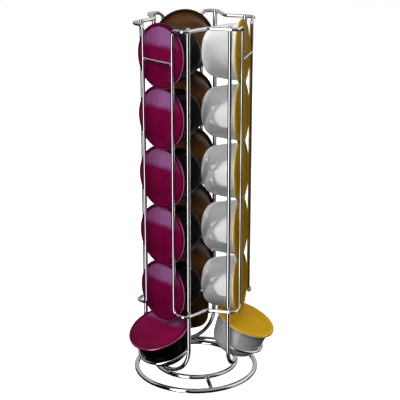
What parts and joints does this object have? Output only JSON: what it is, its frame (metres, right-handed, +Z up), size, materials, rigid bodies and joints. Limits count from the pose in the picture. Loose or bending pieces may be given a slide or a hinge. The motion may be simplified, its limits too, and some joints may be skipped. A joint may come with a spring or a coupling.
{
  "type": "coffee capsule dispenser",
  "caption": "Free-standing round wire tower that stacks coffee capsules on edge in columns and feeds each column down to a tilted holder.",
  "frame": {"origin": "centre of the footprint's bounding box at the floor; the tower's own axis stands 7.7 mm behind it, at +Y", "axes": "+Z up along the tower, longest extent; the berry column faces -Y, the gold column +X and +Y, the cocoa column -X and +Y"},
  "size_m": [0.131, 0.127, 0.3197],
  "materials": {
    "chrome_wire": "bright chrome plate",
    "black_cup": "semi-gloss moulded plastic",
    "white_cup": "semi-gloss moulded plastic",
    "brown_cup": "semi-gloss moulded plastic",
    "berry_lid": "glossy coated sealing film",
    "gold_lid": "glossy coated sealing film",
    "cocoa_lid": "glossy coated sealing film"
  },
  "bodies": {
    "rack": {"outer_base_ring": "chrome_wire", "inner_base_ring": "chrome_wire", "berry_upright_wire": "chrome_wire", "berry_holder_arc": "chrome_wire", "berry_guard_bar": "chrome_wire", "berry_retaining_loop": "chrome_wire", "berry_base_spoke": "chrome_wire", "gold_upright_wire": "chrome_wire", "gold_holder_arc": "chrome_wire", "gold_guard_bar": "chrome_wire", "gold_retaining_loop": "chrome_wire", "gold_base_spoke": "chrome_wire", "cocoa_upright_wire": "chrome_wire", "cocoa_holder_arc": "chrome_wire", "cocoa_guard_bar": "chrome_wire", "cocoa_retaining_loop": "chrome_wire", "cocoa_base_spoke": "chrome_wire"},
    "berry_capsule_6": {"berry_cup_6": "black_cup", "berry_lid_6": "berry_lid"},
    "berry_capsule_5": {"berry_cup_5": "black_cup", "berry_lid_5": "berry_lid"},
    "berry_capsule_4": {"berry_cup_4": "black_cup", "berry_lid_4": "berry_lid"},
    "berry_capsule_3": {"berry_cup_3": "black_cup", "berry_lid_3": "berry_lid"},
    "berry_capsule_2": {"berry_cup_2": "black_cup", "berry_lid_2": "berry_lid"},
    "berry_capsule_1": {"berry_cup_1": "black_cup", "berry_lid_1": "berry_lid"},
    "gold_capsule_6": {"gold_cup_6": "white_cup", "gold_lid_6": "gold_lid"},
    "gold_capsule_5": {"gold_cup_5": "white_cup", "gold_lid_5": "gold_lid"},
    "gold_capsule_4": {"gold_cup_4": "white_cup", "gold_lid_4": "gold_lid"},
    "gold_capsule_3": {"gold_cup_3": "white_cup", "gold_lid_3": "gold_lid"},
    "gold_capsule_2": {"gold_cup_2": "white_cup", "gold_lid_2": "gold_lid"},
    "gold_capsule_1": {"gold_cup_1": "white_cup", "gold_lid_1": "gold_lid"},
    "cocoa_capsule_6": {"cocoa_cup_6": "brown_cup", "cocoa_lid_6": "cocoa_lid"},
    "cocoa_capsule_5": {"cocoa_cup_5": "brown_cup", "cocoa_lid_5": "cocoa_lid"},
    "cocoa_capsule_4": {"cocoa_cup_4": "brown_cup", "cocoa_lid_4": "cocoa_lid"},
    "cocoa_capsule_3": {"cocoa_cup_3": "brown_cup", "cocoa_lid_3": "cocoa_lid"},
    "cocoa_capsule_2": {"cocoa_cup_2": "brown_cup", "cocoa_lid_2": "cocoa_lid"},
    "cocoa_capsule_1": {"cocoa_cup_1": "brown_cup", "cocoa_lid_1": "cocoa_lid"}
  },
  "joints": [
    {"name": "berry_capsule_6_lift", "type": "slide", "parent": "rack", "child": "berry_capsule_6", "axis": [0, 0, 1], "range_m": [0, 0.014]},
    {"name": "berry_capsule_5_lift", "type": "slide", "parent": "berry_capsule_6", "child": "berry_capsule_5", "axis": [0, 0, 1], "range_m": [0, 0.262]},
    {"name": "berry_capsule_4_lift", "type": "slide", "parent": "berry_capsule_5", "child": "berry_capsule_4", "axis": [0, 0, 1], "range_m": [0, 0.2105]},
    {"name": "berry_capsule_3_lift", "type": "slide", "parent": "berry_capsule_4", "child": "berry_capsule_3", "axis": [0, 0, 1], "range_m": [0, 0.159]},
    {"name": "berry_capsule_2_lift", "type": "slide", "parent": "berry_capsule_3", "child": "berry_capsule_2", "axis": [0, 0, 1], "range_m": [0, 0.1075]},
    {"name": "berry_capsule_1_lift", "type": "slide", "parent": "berry_capsule_2", "child": "berry_capsule_1", "axis": [0, 0, 1], "range_m": [0, 0.056]},
    {"name": "gold_capsule_6_lift", "type": "slide", "parent": "rack", "child": "gold_capsule_6", "axis": [0, 0, 1], "range_m": [0, 0.014]},
    {"name": "gold_capsule_5_lift", "type": "slide", "parent": "gold_capsule_6", "child": "gold_capsule_5", "axis": [0, 0, 1], "range_m": [0, 0.262]},
    {"name": "gold_capsule_4_lift", "type": "slide", "parent": "gold_capsule_5", "child": "gold_capsule_4", "axis": [0, 0, 1], "range_m": [0, 0.2105]},
    {"name": "gold_capsule_3_lift", "type": "slide", "parent": "gold_capsule_4", "child": "gold_capsule_3", "axis": [0, 0, 1], "range_m": [0, 0.159]},
    {"name": "gold_capsule_2_lift", "type": "slide", "parent": "gold_capsule_3", "child": "gold_capsule_2", "axis": [0, 0, 1], "range_m": [0, 0.1075]},
    {"name": "gold_capsule_1_lift", "type": "slide", "parent": "gold_capsule_2", "child": "gold_capsule_1", "axis": [0, 0, 1], "range_m": [0, 0.056]},
    {"name": "cocoa_capsule_6_lift", "type": "slide", "parent": "rack", "child": "cocoa_capsule_6", "axis": [0, 0, 1], "range_m": [0, 0.014]},
    {"name": "cocoa_capsule_5_lift", "type": "slide", "parent": "cocoa_capsule_6", "child": "cocoa_capsule_5", "axis": [0, 0, 1], "range_m": [0, 0.262]},
    {"name": "cocoa_capsule_4_lift", "type": "slide", "parent": "cocoa_capsule_5", "child": "cocoa_capsule_4", "axis": [0, 0, 1], "range_m": [0, 0.2105]},
    {"name": "cocoa_capsule_3_lift", "type": "slide", "parent": "cocoa_capsule_4", "child": "cocoa_capsule_3", "axis": [0, 0, 1], "range_m": [0, 0.159]},
    {"name": "cocoa_capsule_2_lift", "type": "slide", "parent": "cocoa_capsule_3", "child": "cocoa_capsule_2", "axis": [0, 0, 1], "range_m": [0, 0.1075]},
    {"name": "cocoa_capsule_1_lift", "type": "slide", "parent": "cocoa_capsule_2", "child": "cocoa_capsule_1", "axis": [0, 0, 1], "range_m": [0, 0.056]}
  ]
}
